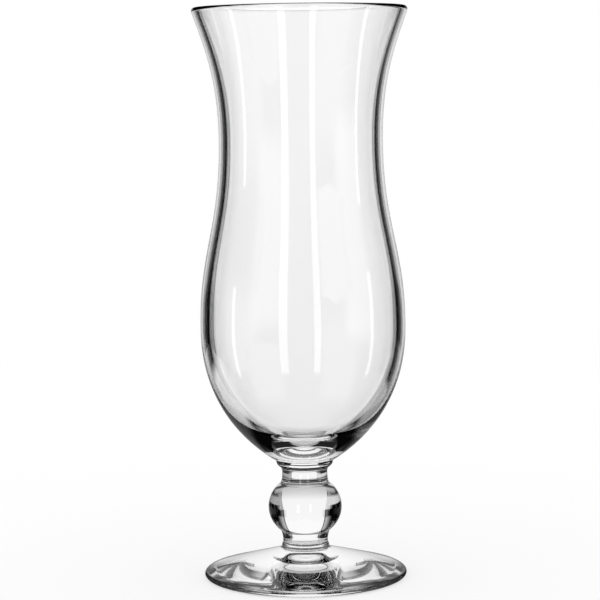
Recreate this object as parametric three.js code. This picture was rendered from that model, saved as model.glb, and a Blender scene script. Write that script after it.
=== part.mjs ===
// A clear cocktail glass: a tall flared and waisted bowl on a short stem with one solid ball, and a round foot.
// Five pieces of glass stand on one upright axis, and each is fused to the next on a flat seam.
// Millimetres, +Z up, origin on the table under the middle of the foot.

import * as THREE from "three";

const { degToRad } = THREE.MathUtils;

// Foot: a low cone with a thin rounded edge, which stands on a flat ring.
const footRadius = 38.1;
const footEdgeThickness = 2.3;
const footEdgeRounding = 1.5;
const footConeSlope = degToRad(15.9);
const footConeTopRadius = 11.6;
const footFilletRise = 2;
const footFilletHandle = 1.3;
const bearingRingWidth = 3.4;

// Foot underneath: a bell-shaped hollow inside the ring, and a dimple in its middle under the stem.
const hollowRimSlope = degToRad(4.5);
const hollowRimHandle = 12.5;
const hollowSlope = degToRad(12.5);
const hollowHandle = 8.5;
const dimpleRadius = 11.8;
const dimpleEdgeHeight = 3;
const dimpleEdgeSlope = degToRad(4);
const dimpleEdgeHandle = 5;
const dimpleHeight = 5.2;
const dimpleTopHandle = 5;

// Stem: a ball between two collars, each with a neck that is its narrowest place.
const footSeamRadius = 8.9;
const footSeamHandle = 0.6;
const lowerCollarHeight = 5.8;
const lowerNeckRadius = 8.42;
const lowerNeckRise = 2.1;
const lowerNeckHandle = 1.3;
const ballSeamRadius = 9.3;
const ballSeamHandle = 0.4;
const ballHeight = 17.75;
const ballRadius = 13.8;
const upperCollarHeight = 8.75;
const upperNeckRadius = 8.5;
const upperNeckRise = 4.25;
const upperNeckHandle = 2.9;
const shoulderHandle = 2.75;
const shoulderTaper = degToRad(2);

// Bowl outside, with heights above its own seam.
const bowlSeamRadius = 10.7;
const bellyHeight = 50.4;
const bellyRadius = 38.3;
const waistHeight = 120.5;
const waistRadius = 30.4;
const bowlHeight = 169.2;
const rimRadius = 39.9;
const baseSlope = degToRad(32.3);
const rimFlare = degToRad(19.1);

// Lengths over which the bowl's outline holds its direction on leaving each of those places.
const baseHandle = 12.6;
const belowBellyHandle = 29.2;
const aboveBellyHandle = 29.7;
const belowWaistHandle = 33.1;
const aboveWaistHandle = 22.4;
const rimHandle = 13.3;

// Bowl inside: the wall's thickness from the rim down, and the thick floor with its rounded bottom.
const rimWall = 2.6;
const waistWall = 3;
const bellyWall = 3.3;
const floorThickness = 6.3;
const floorHandle = 17.5;
const aboveFloorHandle = 27.2;

// Facets: sides round the axis, and steps along each bend or rounded edge of an outline.
const sides = 48;
const longBendSteps = 11;
const shortBendSteps = 6;

const clearGlass = new THREE.MeshStandardMaterial({
  color: 0xf2f5f4,
  roughness: 0.03,
  metalness: 0,
  transparent: true,
  opacity: 0.35,
});

// A point of an outline: its distance from the axis and its height in the piece.
const at = (radius, height) => new THREE.Vector2(radius, height);

// The point a distance away from another, at an angle measured up from the outward horizontal.
const away = (from, angle, distance) =>
  at(from.x + distance * Math.cos(angle), from.y + distance * Math.sin(angle));

// A smooth bend between two points, whose handles set its direction at each.
const bend = (from, fromHandle, toHandle, to, steps) =>
  new THREE.CubicBezierCurve(from, fromHandle, toHandle, to).getPoints(steps);

// An arc of an upright ellipse, by its centre and half sizes, from one angle to another.
const arc = (centre, halfWidth, halfHeight, startAngle, endAngle, steps) =>
  new THREE.EllipseCurve(
    centre.x,
    centre.y,
    halfWidth,
    halfHeight,
    startAngle,
    endAngle,
    endAngle < startAngle,
  ).getPoints(steps);

// One piece: its outline, from the axis round to the axis again, turned about +Z on its lower seam.
function turned(name, seamHeight, ...stretches) {
  const outline = stretches
    .flat()
    .filter((p, i, all) => i === 0 || p.distanceTo(all[i - 1]) > 1e-6);
  const geometry = new THREE.LatheGeometry(outline, sides);
  const piece = new THREE.Mesh(geometry.rotateX(Math.PI / 2), clearGlass);
  piece.name = name;
  piece.position.z = seamHeight;
  return piece;
}

// The foot's rounded edge runs into the cone where the two have the same slope.
const footEdgeCentre = at(footRadius - footEdgeRounding, footEdgeThickness / 2);
const footEdgeEnd = Math.atan2(
  footEdgeThickness / 2,
  footEdgeRounding * Math.tan(footConeSlope),
);
const footConeStart = at(
  footEdgeCentre.x + footEdgeRounding * Math.cos(footEdgeEnd),
  footEdgeCentre.y * (1 + Math.sin(footEdgeEnd)),
);
const footConeTop = at(
  footConeTopRadius,
  footConeStart.y +
    (footConeStart.x - footConeTopRadius) * Math.tan(footConeSlope),
);

// Heights of the four seams above the table.
const footSeam = footConeTop.y + footFilletRise;
const lowerBallSeam = footSeam + lowerCollarHeight;
const upperBallSeam = lowerBallSeam + ballHeight;
const bowlSeam = upperBallSeam + upperCollarHeight;

// The ball is an upright ellipse cut off at both seams, where its outline leans in at this angle.
const ballSeamTurn = Math.acos(ballSeamRadius / ballRadius);
const ballHalfAxis = ballHeight / 2 / Math.sin(ballSeamTurn);
const ballSeamAngle = Math.atan2(
  ballHalfAxis * Math.cos(ballSeamTurn),
  -ballRadius * Math.sin(ballSeamTurn),
);

function makeFoot() {
  const dimpleEdge = at(dimpleRadius, dimpleEdgeHeight);
  const hollowRim = at(footEdgeCentre.x - bearingRingWidth, 0);
  const seam = at(footSeamRadius, footSeam);
  return turned(
    "foot",
    0,
    bend(
      at(0, dimpleHeight),
      at(dimpleTopHandle, dimpleHeight),
      away(dimpleEdge, Math.PI - dimpleEdgeSlope, dimpleEdgeHandle),
      dimpleEdge,
      shortBendSteps,
    ),
    bend(
      dimpleEdge,
      away(dimpleEdge, -hollowSlope, hollowHandle),
      away(hollowRim, Math.PI - hollowRimSlope, hollowRimHandle),
      hollowRim,
      shortBendSteps,
    ),
    arc(
      footEdgeCentre,
      footEdgeRounding,
      footEdgeThickness / 2,
      -Math.PI / 2,
      footEdgeEnd,
      shortBendSteps,
    ),
    bend(
      footConeTop,
      away(footConeTop, Math.PI - footConeSlope, footFilletHandle),
      at(seam.x, seam.y - footFilletHandle),
      seam,
      shortBendSteps,
    ),
    [at(0, seam.y)],
  );
}

// A collar: a neck between two seams. Each end has a radius, and a handle that its outline leaves along.
function makeCollar(name, seamHeight, height, low, neck, high) {
  const lowSeam = at(low.radius, 0);
  const highSeam = at(high.radius, height);
  return turned(
    name,
    seamHeight,
    [at(0, 0)],
    bend(
      lowSeam,
      away(lowSeam, low.angle, low.handle),
      at(neck.radius, neck.rise - neck.handle),
      at(neck.radius, neck.rise),
      shortBendSteps,
    ),
    bend(
      at(neck.radius, neck.rise),
      at(neck.radius, neck.rise + neck.handle),
      away(highSeam, high.angle, high.handle),
      highSeam,
      shortBendSteps,
    ),
    [at(0, height)],
  );
}

function makeBallKnop() {
  return turned(
    "ball_knop",
    lowerBallSeam,
    [at(0, 0)],
    arc(
      at(0, ballHeight / 2),
      ballRadius,
      ballHalfAxis,
      -ballSeamTurn,
      ballSeamTurn,
      2 * shortBendSteps,
    ),
    [at(0, ballHeight)],
  );
}

// The bowl: one S-shaped wall from base to belly, waist and rim, over a rounded lip and down inside.
function makeBowl() {
  const wallAngle = Math.PI / 2 - rimFlare;
  const lip = at(rimRadius - rimWall / 2, bowlHeight - rimWall / 2);
  const lipOutside = away(lip, -rimFlare, rimWall / 2);
  const lipInside = away(lip, Math.PI - rimFlare, rimWall / 2);
  const base = at(bowlSeamRadius, 0);
  const belly = at(bellyRadius, bellyHeight);
  const waist = at(waistRadius, waistHeight);
  const innerBelly = at(bellyRadius - bellyWall, bellyHeight);
  const innerWaist = at(waistRadius - waistWall, waistHeight);
  const above = (point, handle) => at(point.x, point.y + handle);
  const below = (point, handle) => at(point.x, point.y - handle);
  return turned(
    "bowl",
    bowlSeam,
    [at(0, 0)],
    bend(
      base,
      away(base, baseSlope, baseHandle),
      below(belly, belowBellyHandle),
      belly,
      longBendSteps,
    ),
    bend(
      belly,
      above(belly, aboveBellyHandle),
      below(waist, belowWaistHandle),
      waist,
      longBendSteps,
    ),
    bend(
      waist,
      above(waist, aboveWaistHandle),
      away(lipOutside, wallAngle + Math.PI, rimHandle),
      lipOutside,
      longBendSteps,
    ),
    arc(
      lip,
      rimWall / 2,
      rimWall / 2,
      -rimFlare,
      Math.PI - rimFlare,
      shortBendSteps,
    ),
    bend(
      lipInside,
      away(lipInside, wallAngle + Math.PI, rimHandle),
      above(innerWaist, aboveWaistHandle),
      innerWaist,
      longBendSteps,
    ),
    bend(
      innerWaist,
      below(innerWaist, belowWaistHandle),
      above(innerBelly, aboveBellyHandle),
      innerBelly,
      longBendSteps,
    ),
    bend(
      innerBelly,
      below(innerBelly, aboveFloorHandle),
      at(floorHandle, floorThickness),
      at(0, floorThickness),
      longBendSteps,
    ),
  );
}

const glass = new THREE.Group();
glass.name = "cocktail_glass";
glass.add(
  makeFoot(),
  makeCollar(
    "lower_collar",
    footSeam,
    lowerCollarHeight,
    { radius: footSeamRadius, angle: Math.PI / 2, handle: footSeamHandle },
    { radius: lowerNeckRadius, rise: lowerNeckRise, handle: lowerNeckHandle },
    { radius: ballSeamRadius, angle: -ballSeamAngle, handle: ballSeamHandle },
  ),
  makeBallKnop(),
  makeCollar(
    "upper_collar",
    upperBallSeam,
    upperCollarHeight,
    { radius: ballSeamRadius, angle: ballSeamAngle, handle: ballSeamHandle },
    { radius: upperNeckRadius, rise: upperNeckRise, handle: upperNeckHandle },
    {
      radius: bowlSeamRadius,
      angle: -Math.PI / 2 - shoulderTaper,
      handle: shoulderHandle,
    },
  ),
  makeBowl(),
);

export default glass;
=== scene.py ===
import math

import bpy
from mathutils import Matrix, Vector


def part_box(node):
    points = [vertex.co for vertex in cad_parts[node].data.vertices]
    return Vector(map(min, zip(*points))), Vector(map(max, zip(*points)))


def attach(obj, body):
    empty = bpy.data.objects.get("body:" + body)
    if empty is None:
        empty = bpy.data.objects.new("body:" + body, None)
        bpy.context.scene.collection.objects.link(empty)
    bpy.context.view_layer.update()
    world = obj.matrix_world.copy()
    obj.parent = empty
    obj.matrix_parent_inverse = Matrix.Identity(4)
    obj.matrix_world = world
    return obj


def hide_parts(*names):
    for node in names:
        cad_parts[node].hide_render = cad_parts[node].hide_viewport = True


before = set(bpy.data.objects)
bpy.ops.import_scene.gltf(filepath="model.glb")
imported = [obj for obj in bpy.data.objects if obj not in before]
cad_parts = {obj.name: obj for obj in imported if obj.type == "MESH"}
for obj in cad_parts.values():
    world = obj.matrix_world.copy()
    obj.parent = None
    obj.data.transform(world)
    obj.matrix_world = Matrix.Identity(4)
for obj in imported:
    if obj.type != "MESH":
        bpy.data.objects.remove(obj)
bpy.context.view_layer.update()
scene = bpy.context.scene

# Camera: a long lens under a metre from the glass, a little lower than its rim, looking slightly down.
# It is turned by less than a degree, because the photographed glass leans a hair to the left.
camera_distance = 0.80
camera_height = 0.186
camera_aside = -0.001
look_down = math.radians(5.836)
camera_turn = math.radians(-0.7)
sensor_width_mm = 36.0
lens_mm = 129.13

lens = bpy.data.cameras.new("camera")
lens.sensor_width = sensor_width_mm
lens.lens = lens_mm
camera = bpy.data.objects.new("camera", lens)
camera.location = (camera_aside, -camera_distance, camera_height)
camera_tilt = Matrix.Rotation(math.pi / 2 - look_down, 3, "X")
camera.rotation_euler = (camera_tilt @ Matrix.Rotation(camera_turn, 3, "Z")).to_euler()
scene.collection.objects.link(camera)
scene.camera = camera


# Foot: a disc of clear glass pressed hot in a mould, a low cone above with a thin rounded edge.
# It stands on a narrow ring round a shallow hollow, and its middle rises to the stem's first seam.
class Wire:
    """A socket of a node tree. Operators on it add Math nodes, and node() adds any other node."""

    def __init__(self, tree, socket=None):
        self.tree = tree
        self.socket = socket

    def node(self, kind, settings=None, inputs=None, output=0):
        """Adds a node: its settings first, then its inputs as values or wires. Gives one output."""
        made = self.tree.nodes.new(kind)
        for name, value in (settings or {}).items():
            setattr(made, name, value)
        for key, value in (inputs or {}).items():
            if isinstance(value, Wire):
                self.tree.links.new(value.socket, made.inputs[key])
            else:
                made.inputs[key].default_value = value
        return Wire(self.tree, made.outputs[output] if made.outputs else None)

    def maths(self, operation, first, second=0.0):
        """Adds a Math node on one or two numbers."""
        return self.node("ShaderNodeMath", {"operation": operation}, {0: first, 1: second})

    def __add__(self, other):
        return self.maths("ADD", self, other)

    def __radd__(self, other):
        return self.maths("ADD", other, self)

    def __sub__(self, other):
        return self.maths("SUBTRACT", self, other)

    def __rsub__(self, other):
        return self.maths("SUBTRACT", other, self)

    def __mul__(self, other):
        return self.maths("MULTIPLY", self, other)

    def __rmul__(self, other):
        return self.maths("MULTIPLY", other, self)

    def __truediv__(self, other):
        return self.maths("DIVIDE", self, other)

    def __abs__(self):
        return self.maths("ABSOLUTE", self)

    def along(self, axis):
        """The part of a vector that lies along X, Y or Z."""
        return self.node("ShaderNodeSeparateXYZ", None, {0: self}, axis)

    def reach(self):
        """The length of a vector."""
        return self.node("ShaderNodeVectorMath", {"operation": "LENGTH"}, {0: self}, "Value")

    def ramp(self, low, high):
        """0 below low, 1 above high and a smooth rise between, or a fall where low is the larger."""
        settings = {"interpolation_type": "SMOOTHSTEP"}
        values = {"Value": self, "From Min": low, "From Max": high}
        return self.node("ShaderNodeMapRange", settings, values)


def away(point, angle, distance):
    """The point of an outline at a distance from another, at an angle up from the outward level."""
    return point[0] + distance * math.cos(angle), point[1] + distance * math.sin(angle)


def straight(start, end):
    """A straight stretch of an outline, as one bend with its handles a third of the way along."""
    step = ((end[0] - start[0]) / 3, (end[1] - start[1]) / 3)
    leaving = (start[0] + step[0], start[1] + step[1])
    arriving = (end[0] - step[0], end[1] - step[1])
    return [(start, leaving, arriving, end)]


def rounded(centre, half_width, half_height, start, end):
    """An arc of an upright ellipse between two angles, as bends of an eighth of a turn at most."""
    count = math.ceil(abs(end - start) / (math.pi / 4))
    turn = (end - start) / count
    reach = 4 / 3 * math.tan(turn / 4)
    bends = []
    for step in range(count):
        ends = []
        for angle, way in ((start + step * turn, reach), (start + (step + 1) * turn, -reach)):
            point = (
                centre[0] + half_width * math.cos(angle),
                centre[1] + half_height * math.sin(angle),
            )
            handle = (
                point[0] - way * half_width * math.sin(angle),
                point[1] + way * half_height * math.cos(angle),
            )
            ends.append((point, handle))
        (leaves, leaving), (arrives, arriving) = ends
        bends.append((leaves, leaving, arriving, arrives))
    return bends


turning_circle = 1.0
merge_distance = 1e-6
crease_angle = math.radians(30)


def make_turning_tree():
    """Geometry nodes that turn an outline about the upright axis. Its first line is the glass skin."""
    tree = bpy.data.node_groups.new("turned glass", "GeometryNodeTree")
    sockets = {}
    for name, kind in (
        ("Outline", "NodeSocketGeometry"),
        ("Sides", "NodeSocketInt"),
        ("Steps", "NodeSocketInt"),
        ("Glass", "NodeSocketMaterial"),
        ("Fused face", "NodeSocketMaterial"),
    ):
        sockets[name] = tree.interface.new_socket(name, in_out="INPUT", socket_type=kind).identifier
    tree.interface.new_socket("Turned piece", in_out="OUTPUT", socket_type="NodeSocketGeometry")
    given = tree.nodes.new("NodeGroupInput")
    outline, sides, steps, glass, fused = (Wire(tree, given.outputs[name]) for name in sockets)

    fine = outline.node("GeometryNodeSetSplineResolution", None, {0: outline, "Resolution": steps})
    index = fine.node("GeometryNodeInputIndex")
    capture = tree.nodes.new("GeometryNodeCaptureAttribute")
    capture.domain = "CURVE"
    capture.capture_items.new("INT", "Line")
    tree.links.new(fine.socket, capture.inputs[0])
    tree.links.new(index.socket, capture.inputs[1])
    marked, line = Wire(tree, capture.outputs[0]), Wire(tree, capture.outputs[1])
    shifted = marked.node(
        "GeometryNodeTransform", None, {"Geometry": marked, "Translation": (-turning_circle, 0, 0)}
    )
    circle = fine.node(
        "GeometryNodeCurvePrimitiveCircle",
        {"mode": "RADIUS"},
        {"Resolution": sides, "Radius": turning_circle},
    )
    swept = circle.node("GeometryNodeCurveToMesh", None, {"Curve": circle, "Profile Curve": shifted})
    outward = swept.node("GeometryNodeFlipFaces", None, {0: swept})
    whole = outward.node(
        "GeometryNodeMergeByDistance", None, {"Geometry": outward, "Distance": merge_distance}
    )
    smooth = whole.node("GeometryNodeSetShadeSmooth", None, {"Geometry": whole, "Shade Smooth": True})
    angle = smooth.node("GeometryNodeInputMeshEdgeAngle")
    sharp = angle.node(
        "FunctionNodeCompare",
        {"data_type": "FLOAT", "operation": "GREATER_THAN"},
        {0: angle, 1: crease_angle},
    )
    creased = smooth.node(
        "GeometryNodeSetShadeSmooth",
        {"domain": "EDGE"},
        {"Geometry": smooth, "Selection": sharp, "Shade Smooth": False},
    )
    at_seam = line.node(
        "FunctionNodeCompare", {"data_type": "INT", "operation": "GREATER_THAN"}, {2: line, 3: 0}
    )
    real = creased.node("GeometryNodeRealizeInstances", None, {"Geometry": creased})
    glazed = real.node("GeometryNodeSetMaterial", None, {"Geometry": real, "Material": glass})
    joined = glazed.node(
        "GeometryNodeSetMaterial",
        None,
        {"Geometry": glazed, "Selection": at_seam, "Material": fused},
    )
    joined.node("NodeGroupOutput", None, {0: joined})
    return tree, sockets


turning_tree, turning_sockets = make_turning_tree()
glass_sides = 160
steps_per_bend = 40


def make_turned(name, finish, skin, *seams):
    """One piece of glass: its skin's outline and its flat seam faces, turned to a plain mesh."""
    outline = bpy.data.curves.new(name + "_outline", "CURVE")
    outline.dimensions = "3D"
    for line in (skin, *seams):
        spline = outline.splines.new("BEZIER")
        spline.bezier_points.add(len(line))
        for point in spline.bezier_points:
            point.handle_left_type = "FREE"
            point.handle_right_type = "FREE"
        for place, (start, leaving, arriving, end) in enumerate(line):
            here, there = spline.bezier_points[place], spline.bezier_points[place + 1]
            here.co = (start[0], -start[1], 0)
            here.handle_right = (leaving[0], -leaving[1], 0)
            there.handle_left = (arriving[0], -arriving[1], 0)
            there.co = (end[0], -end[1], 0)
    holder = bpy.data.objects.new(name + "_outline", outline)
    scene.collection.objects.link(holder)
    turning = holder.modifiers.new("turning", "NODES")
    turning.node_group = turning_tree
    for socket, value in (
        ("Sides", glass_sides),
        ("Steps", steps_per_bend),
        ("Glass", finish),
        ("Fused face", fused_face),
    ):
        turning[turning_sockets[socket]] = value
    evaluated = holder.evaluated_get(bpy.context.evaluated_depsgraph_get())
    mesh = bpy.data.meshes.new_from_object(evaluated)
    holder.modifiers.remove(turning)
    bpy.data.objects.remove(holder)
    mesh.name = name
    piece = bpy.data.objects.new(name, mesh)
    scene.collection.objects.link(piece)
    return piece


def new_material(name):
    """An empty material, with a wire that starts its nodes."""
    material = bpy.data.materials.new(name)
    material.use_nodes = True
    material.node_tree.nodes.clear()
    return material, Wire(material.node_tree)


clear = (1.0, 1.0, 1.0, 1.0)
glass_index = 1.52
ripple_detail = 1.0
wear_size = 0.0015
wear_detail = 2.0
wear_spread = (0.52, 0.68)
wear_height = (0.0003, 0.0001)
wear_roughness = 0.08


def make_glass(name, ripple_size, ripple_depth):
    """Clear glass, with a slight ripple from hot working and fine scuffs where it stands."""
    material, wire = new_material(name)
    place = wire.node("ShaderNodeTexCoord", output="Object")
    ripple = place.node(
        "ShaderNodeTexNoise",
        None,
        {"Vector": place, "Scale": 1 / ripple_size, "Detail": ripple_detail},
    )
    wavy = ripple.node(
        "ShaderNodeBump", None, {"Strength": 1.0, "Distance": ripple_depth, "Height": ripple}
    )
    scuff = place.node(
        "ShaderNodeTexNoise",
        None,
        {"Vector": place, "Scale": 1 / wear_size, "Detail": wear_detail},
    )
    wear = place.along("Z").ramp(*wear_height) * scuff.ramp(*wear_spread) * wear_roughness
    shine = wavy.node(
        "ShaderNodeBsdfPrincipled",
        None,
        {
            "Base Color": clear,
            "Roughness": wear,
            "IOR": glass_index,
            "Transmission Weight": 1.0,
            "Normal": wavy,
        },
    )
    shine.node("ShaderNodeOutputMaterial", None, {"Surface": shine})
    return material


def make_fused_face():
    """Glass fused to glass: light crosses the seam as if it weren't there."""
    material, wire = new_material("fused face")
    no_skin = wire.node("ShaderNodeBsdfTransparent")
    no_skin.node("ShaderNodeOutputMaterial", None, {"Surface": no_skin})
    return material


fused_face = make_fused_face()
pressed_ripple_size = 0.02
pressed_ripple_depth = 4e-6
pressed_glass = make_glass("pressed glass", pressed_ripple_size, pressed_ripple_depth)

foot_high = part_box("foot")[1]
foot_radius = foot_high.x
foot_edge_thickness = 0.0023
foot_edge_rounding = 0.0015
foot_cone_slope = math.radians(15.9)
foot_cone_top_radius = 0.0116
foot_fillet_handle = 0.0013
bearing_ring_width = 0.0034
hollow_rim_slope = math.radians(4.5)
hollow_rim_handle = 0.0125
hollow_slope = math.radians(12.5)
hollow_handle = 0.0085
dimple_radius = 0.0118
dimple_edge_height = 0.0030
dimple_edge_slope = math.radians(4.0)
dimple_handle = 0.0050
dimple_height = 0.0052
foot_seam_radius = 0.0089
foot_seam = foot_high.z

edge_centre = (foot_radius - foot_edge_rounding, foot_edge_thickness / 2)
edge_end = math.atan2(foot_edge_thickness / 2, foot_edge_rounding * math.tan(foot_cone_slope))
hollow_rim = (edge_centre[0] - bearing_ring_width, 0)
dimple_edge = (dimple_radius, dimple_edge_height)
cone_start = (
    edge_centre[0] + foot_edge_rounding * math.cos(edge_end),
    edge_centre[1] + foot_edge_thickness / 2 * math.sin(edge_end),
)
cone_top = (
    foot_cone_top_radius,
    cone_start[1] + (cone_start[0] - foot_cone_top_radius) * math.tan(foot_cone_slope),
)
foot = make_turned(
    "foot_glass",
    pressed_glass,
    [
        (
            (0, dimple_height),
            (dimple_handle, dimple_height),
            away(dimple_edge, math.pi - dimple_edge_slope, dimple_handle),
            dimple_edge,
        ),
        (
            dimple_edge,
            away(dimple_edge, -hollow_slope, hollow_handle),
            away(hollow_rim, math.pi - hollow_rim_slope, hollow_rim_handle),
            hollow_rim,
        ),
        *straight(hollow_rim, (edge_centre[0], 0)),
        *rounded(edge_centre, foot_edge_rounding, foot_edge_thickness / 2, -math.pi / 2, edge_end),
        *straight(cone_start, cone_top),
        (
            cone_top,
            away(cone_top, math.pi - foot_cone_slope, foot_fillet_handle),
            (foot_seam_radius, foot_seam - foot_fillet_handle),
            (foot_seam_radius, foot_seam),
        ),
    ],
    straight((foot_seam_radius, foot_seam), (0, foot_seam)),
)
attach(foot, "root")
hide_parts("foot")

# Ball knop and its two collars: the short stem, worked from solid gathers of glass.
# Each collar draws in to a neck, and all seams are fused, so no line of air shows in them.
ball_low, ball_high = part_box("ball_knop")
ball_radius = ball_high.x
ball_height = ball_high.z - ball_low.z
ball_seam_radius = 0.0093
ball_turn = math.acos(ball_seam_radius / ball_radius)
ball_half_axis = ball_height / 2 / math.sin(ball_turn)
ball_seam_angle = math.atan2(
    ball_half_axis * math.cos(ball_turn), -ball_radius * math.sin(ball_turn)
)
ball = make_turned(
    "ball_knop_glass",
    pressed_glass,
    rounded(
        (0, ball_low.z + ball_height / 2), ball_radius, ball_half_axis, -ball_turn, ball_turn
    ),
    straight((ball_seam_radius, ball_high.z), (0, ball_high.z)),
    straight((0, ball_low.z), (ball_seam_radius, ball_low.z)),
)
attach(ball, "root")
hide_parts("ball_knop")


def above(point, rise):
    """The point of an outline straight above another, or below it where the rise is negative."""
    return point[0], point[1] + rise


def make_collar(node, low, neck, high):
    """A collar between two seams. Each end gives a radius, an angle and a handle, the neck its rise."""
    bottom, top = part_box(node)
    low_radius, low_angle, low_handle = low
    neck_radius, neck_rise, neck_handle = neck
    high_radius, high_angle, high_handle = high
    low_seam = (low_radius, bottom.z)
    narrowest = (neck_radius, bottom.z + neck_rise)
    high_seam = (high_radius, top.z)
    collar = make_turned(
        node + "_glass",
        pressed_glass,
        [
            (
                low_seam,
                away(low_seam, low_angle, low_handle),
                above(narrowest, -neck_handle),
                narrowest,
            ),
            (
                narrowest,
                above(narrowest, neck_handle),
                away(high_seam, high_angle, high_handle),
                high_seam,
            ),
        ],
        straight(high_seam, (0, top.z)),
        straight((0, bottom.z), low_seam),
    )
    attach(collar, "root")
    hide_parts(node)


foot_seam_handle = 0.0006
lower_neck_radius = 0.00842
lower_neck_rise = 0.0021
lower_neck_handle = 0.0013
ball_seam_handle = 0.0004
upper_neck_radius = 0.0085
upper_neck_rise = 0.00425
upper_neck_handle = 0.0029
bowl_seam_radius = 0.0107
shoulder_taper = math.radians(2.0)
shoulder_handle = 0.00275

make_collar(
    "lower_collar",
    (foot_seam_radius, math.pi / 2, foot_seam_handle),
    (lower_neck_radius, lower_neck_rise, lower_neck_handle),
    (ball_seam_radius, -ball_seam_angle, ball_seam_handle),
)
make_collar(
    "upper_collar",
    (ball_seam_radius, ball_seam_angle, ball_seam_handle),
    (upper_neck_radius, upper_neck_rise, upper_neck_handle),
    (bowl_seam_radius, -math.pi / 2 - shoulder_taper, shoulder_handle),
)

# Bowl: the blown body, a full belly, a drawn-in waist and a flared rim in one S-shaped wall.
# The wall thickens from the fire-polished lip to the belly, and below that into a heavy round floor.
blown_ripple_size = 0.03
blown_ripple_depth = 5e-6
blown_glass = make_glass("blown glass", blown_ripple_size, blown_ripple_depth)

bowl_low, bowl_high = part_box("bowl")
bowl_seam = bowl_low.z
rim_radius = bowl_high.x
belly_height = 0.0504
belly_radius = 0.0383
waist_height = 0.1205
waist_radius = 0.0304
base_slope = math.radians(32.3)
rim_flare = math.radians(19.1)
base_handle = 0.0126
below_belly_handle = 0.0292
above_belly_handle = 0.0297
below_waist_handle = 0.0331
above_waist_handle = 0.0224
rim_handle = 0.0133
rim_wall = 0.0026
waist_wall = 0.0030
belly_wall = 0.0033
floor_thickness = 0.0063
floor_handle = 0.0175
above_floor_handle = 0.0272

lip = (rim_radius - rim_wall / 2, bowl_high.z - rim_wall / 2)
lip_outside = away(lip, -rim_flare, rim_wall / 2)
lip_inside = away(lip, math.pi - rim_flare, rim_wall / 2)
down_the_wall = math.pi * 3 / 2 - rim_flare
base = (bowl_seam_radius, bowl_seam)
belly = (belly_radius, bowl_seam + belly_height)
waist = (waist_radius, bowl_seam + waist_height)
inner_belly = (belly_radius - belly_wall, belly[1])
inner_waist = (waist_radius - waist_wall, waist[1])
floor_height = bowl_seam + floor_thickness

bowl = make_turned(
    "bowl_glass",
    blown_glass,
    [
        (base, away(base, base_slope, base_handle), above(belly, -below_belly_handle), belly),
        (belly, above(belly, above_belly_handle), above(waist, -below_waist_handle), waist),
        (
            waist,
            above(waist, above_waist_handle),
            away(lip_outside, down_the_wall, rim_handle),
            lip_outside,
        ),
        *rounded(lip, rim_wall / 2, rim_wall / 2, -rim_flare, math.pi - rim_flare),
        (
            lip_inside,
            away(lip_inside, down_the_wall, rim_handle),
            above(inner_waist, above_waist_handle),
            inner_waist,
        ),
        (
            inner_waist,
            above(inner_waist, -below_waist_handle),
            above(inner_belly, above_belly_handle),
            inner_belly,
        ),
        (
            inner_belly,
            above(inner_belly, -above_floor_handle),
            (floor_handle, floor_height),
            (0, floor_height),
        ),
    ],
    straight((0, bowl_seam), base),
)
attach(bowl, "root")
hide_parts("bowl")

# Studio: a pale floor in even soft light, which keeps the glass's faint shadow and fades to white.
# Clear glass shows what stands round it: a lit screen behind it, a lit table under it, and narrow strip
# lights in a dark room. Only the glass sees those, and what its skin mirrors of the sheets is dimmed.
white = (1.0, 1.0, 1.0, 1.0)
floor_drop = 0.0002
floor_half_width = 0.9
floor_fade = (0.25, 0.85)
floor_colour = (0.97, 0.97, 0.97, 1.0)
floor_whitening = 0.6


def level_corners(half_width, front, back, height):
    """The corners of a level sheet, counted round from the front left one."""
    return [
        (-half_width, front, height),
        (half_width, front, height),
        (half_width, back, height),
        (-half_width, back, height),
    ]


def make_flat(name, corners, material):
    """A flat sheet of the studio, which isn't part of the glass."""
    mesh = bpy.data.meshes.new(name)
    mesh.from_pydata(corners, [], [range(len(corners))])
    mesh.materials.append(material)
    sheet = bpy.data.objects.new(name, mesh)
    scene.collection.objects.link(sheet)
    return sheet


def make_floor_paint():
    """Pale paint that the camera sees partly as pure white, and that thins out to open air far off."""
    material, wire = new_material("pale floor")
    place = wire.node("ShaderNodeTexCoord", output="Object")
    pale = wire.node("ShaderNodeBsdfDiffuse", None, {"Color": floor_colour})
    pure_white = wire.node("ShaderNodeEmission", None, {"Color": white, "Strength": 1.0})
    open_air = wire.node("ShaderNodeBsdfTransparent")
    in_view = wire.node("ShaderNodeLightPath", output="Is Camera Ray") * floor_whitening
    paint = wire.node("ShaderNodeMixShader", None, {0: in_view, 1: pale, 2: pure_white})
    far_off = place.reach().ramp(*floor_fade)
    fading = wire.node("ShaderNodeMixShader", None, {0: far_off, 1: paint, 2: open_air})
    fading.node("ShaderNodeOutputMaterial", None, {"Surface": fading})
    return material


floor = make_flat(
    "floor",
    level_corners(floor_half_width, -floor_half_width, floor_half_width, -floor_drop),
    make_floor_paint(),
)
floor.visible_glossy = False
floor.visible_transmission = False


def show_to_glass_only(sheet):
    """Hides a sheet from the camera and the floor, and lets it throw no shadow."""
    sheet.visible_camera = False
    sheet.visible_diffuse = False
    sheet.visible_shadow = False


# A pair is a soft edge, from where it begins to where it is complete. A turn is in degrees round the
# glass from the middle of the screen, and every other place is in metres.
degrees = 180 / math.pi
hair_breadth = 0.0004
mirrored_glow = 0.35
room_turn = 1.2
main_half_angle = 24.0
gap_angle = 1.4
gap_blur = 0.5
side_glow = 0.5
side_fall = (38.0, 25.0)

screen_distance = 0.40
screen_half_width = 0.37
screen_height = 0.29
screen_top_blur = 0.0232
screen_low_glow = 1.0
screen_high_glow = 1.1
low_screen = (0.06, 0.095)
low_side_fall = (32.0, 18.0)

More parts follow.
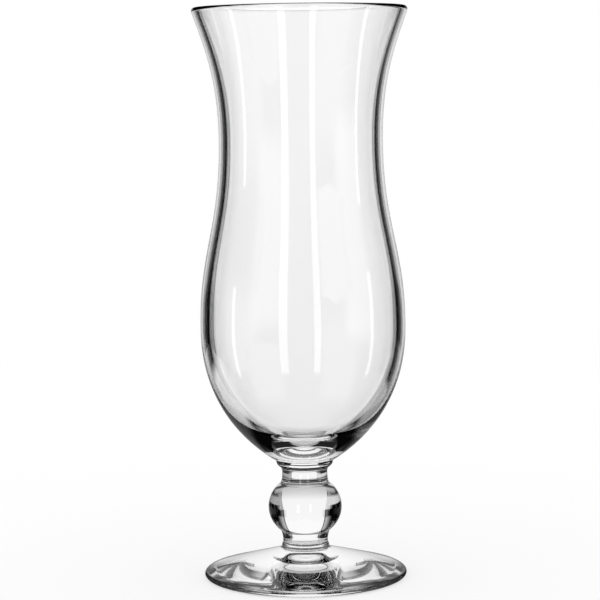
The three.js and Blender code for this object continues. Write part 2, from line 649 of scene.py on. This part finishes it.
table_half_width = 0.40
near_glow = 0.5
near_reach = (0.03, 0.10)
near_end = (0.20, 0.165)
behind_turn = (55.0, 40.0)
behind_end = (0.07, 0.05)
beside_left_glow = 0.75
beside_right_glow = 0.42
beside_front = (0.0, 0.03)
beside_start = (0.06, 0.085)
front_turn = (108.0, 120.0)
front_end_turn = (165.0, 150.0)
front_start = (0.06, 0.09)
front_glow = 0.9
# Painted shade on the table: dim under the front of the foot, and a dark ring round the foot's edge.
under_foot_reach = (0.038, 0.035)
under_foot_front = (0.015, 0.005)
shaded_under_foot_glow = 0.2
edge_shade = 0.15
edge_shade_start = (0.035, 0.038)
edge_shade_end = (0.048, 0.044)


def seen_through_glass(wire):
    """1 for light that comes through the glass to the eye, and 0 for light mirrored on its skin."""
    return wire.node("ShaderNodeLightPath", output="Is Transmission Ray")


def turn_from_screen(wire, place):
    """How far round the glass a place lies from the middle of the screen, to either side."""
    return abs(wire.maths("ARCTAN2", place.along("X"), place.along("Y")) * degrees - room_turn)


def light_at_turn(wire, turn):
    """Full light behind the glass, and a dimmer light past a narrow dark gap on each side."""
    gap_end = main_half_angle + gap_angle
    main = turn.ramp(main_half_angle + gap_blur, main_half_angle - gap_blur)
    past_gap = turn.ramp(gap_end - gap_blur, gap_end + gap_blur)
    return wire.maths("MAXIMUM", main, past_gap * side_glow)


def finish_sheet(material, wire, solid, glow):
    """A glowing sheet, dimmed in mirror images, with open air where it isn't solid."""
    filtered = seen_through_glass(wire) * (1 - mirrored_glow) + mirrored_glow
    shine = wire.node("ShaderNodeEmission", None, {"Color": glow * filtered, "Strength": 1.0})
    open_air = wire.node("ShaderNodeBsdfTransparent")
    mixed = wire.node("ShaderNodeMixShader", None, {0: solid, 1: open_air, 2: shine})
    mixed.node("ShaderNodeOutputMaterial", None, {"Surface": mixed})
    return material


def make_screen_light():
    """The screen: a little brighter towards its soft top, and narrower near the table."""
    material, wire = new_material("lit screen")
    place = wire.node("ShaderNodeTexCoord", output="Object")
    height = place.along("Z")
    turn = turn_from_screen(wire, place)
    high = height.ramp(*low_screen)
    side_start, side_end = (
        high * (upper - lower) + lower for upper, lower in zip(side_fall, low_side_fall)
    )
    top_fade = height.ramp(screen_height, screen_height - screen_top_blur)
    glow = height / screen_height * (screen_high_glow - screen_low_glow) + screen_low_glow
    solid = turn.ramp(side_start, side_end) * top_fade
    return finish_sheet(material, wire, solid, glow * light_at_turn(wire, turn))


def make_table_light():
    """The table: bright behind the glass, dimmer beside it, and lit again on both sides of its front.

    It has painted shade under the front of the foot, and a painted ring of shade round the foot's edge.
    """
    material, wire = new_material("lit table")
    place = wire.node("ShaderNodeTexCoord", output="Object")
    reach = place.reach()
    turn = turn_from_screen(wire, place)
    solid = turn.ramp(*side_fall)
    lit = light_at_turn(wire, turn) * solid
    lit = lit * (reach.ramp(*near_reach) * (1 - near_glow) + near_glow)

    to_right = place.along("X").ramp(-hair_breadth, hair_breadth)
    to_back = place.along("Y")
    beside_glow = to_right * (beside_right_glow - beside_left_glow) + beside_left_glow
    beside = to_back.ramp(*beside_front) * reach.ramp(*beside_start) * beside_glow
    behind_foot = turn.ramp(*behind_turn) * reach.ramp(*behind_end) * near_glow
    front = turn.ramp(*front_turn) * turn.ramp(*front_end_turn) * reach.ramp(*front_start)
    front = front * seen_through_glass(wire)
    for part in (beside, behind_foot, front * front_glow):
        lit = wire.maths("MAXIMUM", lit, part)

    # Painted shade under the front of the foot: the table glows at a fifth there, and stays bright
    # under the back.
    under_foot = reach.ramp(*under_foot_reach)
    under_glow = to_back.ramp(*under_foot_front) * (shaded_under_foot_glow - 1) + 1
    lit = lit * (1 - under_foot) + under_glow * under_foot
    shade = reach.ramp(*edge_shade_start) * reach.ramp(*edge_shade_end) * (1 - edge_shade)
    for part in (reach.ramp(*near_end), front):
        solid = wire.maths("MAXIMUM", solid, part)
    return finish_sheet(material, wire, solid, lit * (1 - shade))


back_screen = make_flat(
    "back_screen",
    [
        (-screen_half_width, screen_distance, -hair_breadth),
        (screen_half_width, screen_distance, -hair_breadth),
        (screen_half_width, screen_distance, screen_height),
        (-screen_half_width, screen_distance, screen_height),
    ],
    make_screen_light(),
)
table = make_flat(
    "table",
    level_corners(table_half_width, -screen_distance, screen_distance, -hair_breadth),
    make_table_light(),
)
show_to_glass_only(back_screen)
show_to_glass_only(table)

world = bpy.data.worlds.new("studio")
scene.world = world
world.use_nodes = True
world.node_tree.nodes.clear()
sky = Wire(world.node_tree)
look = sky.node("ShaderNodeTexCoord", output="Generated")
look_height = sky.maths("ARCSINE", look.along("Z")) * degrees
look_bearing = sky.maths("ARCTAN2", look.along("X"), look.along("Y")) * degrees


def patch(bearing, half_width, low, high, glow, soft_side, soft_end):
    """A lit patch of the dark room. All but its glow are angles in degrees, as seen from the glass."""
    turn = abs(look_bearing - bearing)
    lit = turn.ramp(half_width, half_width - soft_side) * look_height.ramp(low, low + soft_end)
    return lit * look_height.ramp(high, high - soft_end) * glow


# Strip lights, of which the glass shows only mirror images: two in front, one on each side, and a faint
# one towards each edge of the screen.
strip_low = -50.0
strip_glow = 3.0
strip_blur = 1.0
front_strips = ((-158.0, 5.2), (164.0, 4.2))
front_strip_high = 22.0
front_strip_fade = 2.0
side_strips = ((-96.0, 6.0), (97.0, 9.5))
side_strip_half_width = 2.8
side_strip_fade = 1.5
faint_strips = (-68.0, 68.0)
faint_strip_half_width = 1.6
faint_strip_glow = 0.9

strip_lights = 0.0
for bearing, half_width in front_strips:
    strip_lights += patch(
        bearing, half_width, strip_low, front_strip_high, strip_glow, strip_blur, front_strip_fade
    )
for bearing, high in side_strips:
    strip_lights += patch(
        bearing, side_strip_half_width, strip_low, high, strip_glow, strip_blur, side_strip_fade
    )
for bearing in faint_strips:
    strip_lights += patch(
        bearing,
        faint_strip_half_width,
        strip_low,
        front_strip_high,
        faint_strip_glow,
        strip_blur,
        front_strip_fade,
    )

# A dim panel above the screen, and the far table, which shows only through the glass: left, back left
# and front right.
above_screen = patch(
    bearing=0.0, half_width=26.0, low=30.0, high=56.0, glow=0.65, soft_side=6.0, soft_end=8.0
)
far_left = patch(
    bearing=-101.0, half_width=30.0, low=-44.0, high=10.0, glow=0.95, soft_side=16.0, soft_end=14.0
)
far_back_left = patch(
    bearing=-45.0, half_width=26.0, low=-50.0, high=-15.0, glow=0.85, soft_side=8.0, soft_end=6.0
)
far_front_right = patch(
    bearing=135.0, half_width=34.0, low=-40.0, high=5.0, glow=0.9, soft_side=20.0, soft_end=14.0
)
far_table = far_left + far_back_left + far_front_right

# The camera sees plain white, the glass sees the lights above, and the floor is lit evenly.
dark_room = 0.002
floor_light = 1.04
is_camera = sky.node("ShaderNodeLightPath", output="Is Camera Ray")
is_glossy = sky.node("ShaderNodeLightPath", output="Is Glossy Ray")
through = seen_through_glass(sky)
seen_in_glass = through * far_table + (1 - through) * strip_lights + above_screen + dark_room
met_glass = sky.maths("MAXIMUM", is_glossy, through)
past_camera = met_glass * seen_in_glass + (1 - met_glass) * floor_light
strength = is_camera + (1 - is_camera) * past_camera
backdrop = sky.node("ShaderNodeBackground", None, {"Color": white, "Strength": strength})
backdrop.node("ShaderNodeOutputWorld", None, {"Surface": backdrop})

glass_bounces = 24
mirror_bounces = 12
scene.view_settings.view_transform = "Standard"
scene.cycles.max_bounces = glass_bounces
scene.cycles.transmission_bounces = glass_bounces
scene.cycles.transparent_max_bounces = glass_bounces
scene.cycles.glossy_bounces = mirror_bounces
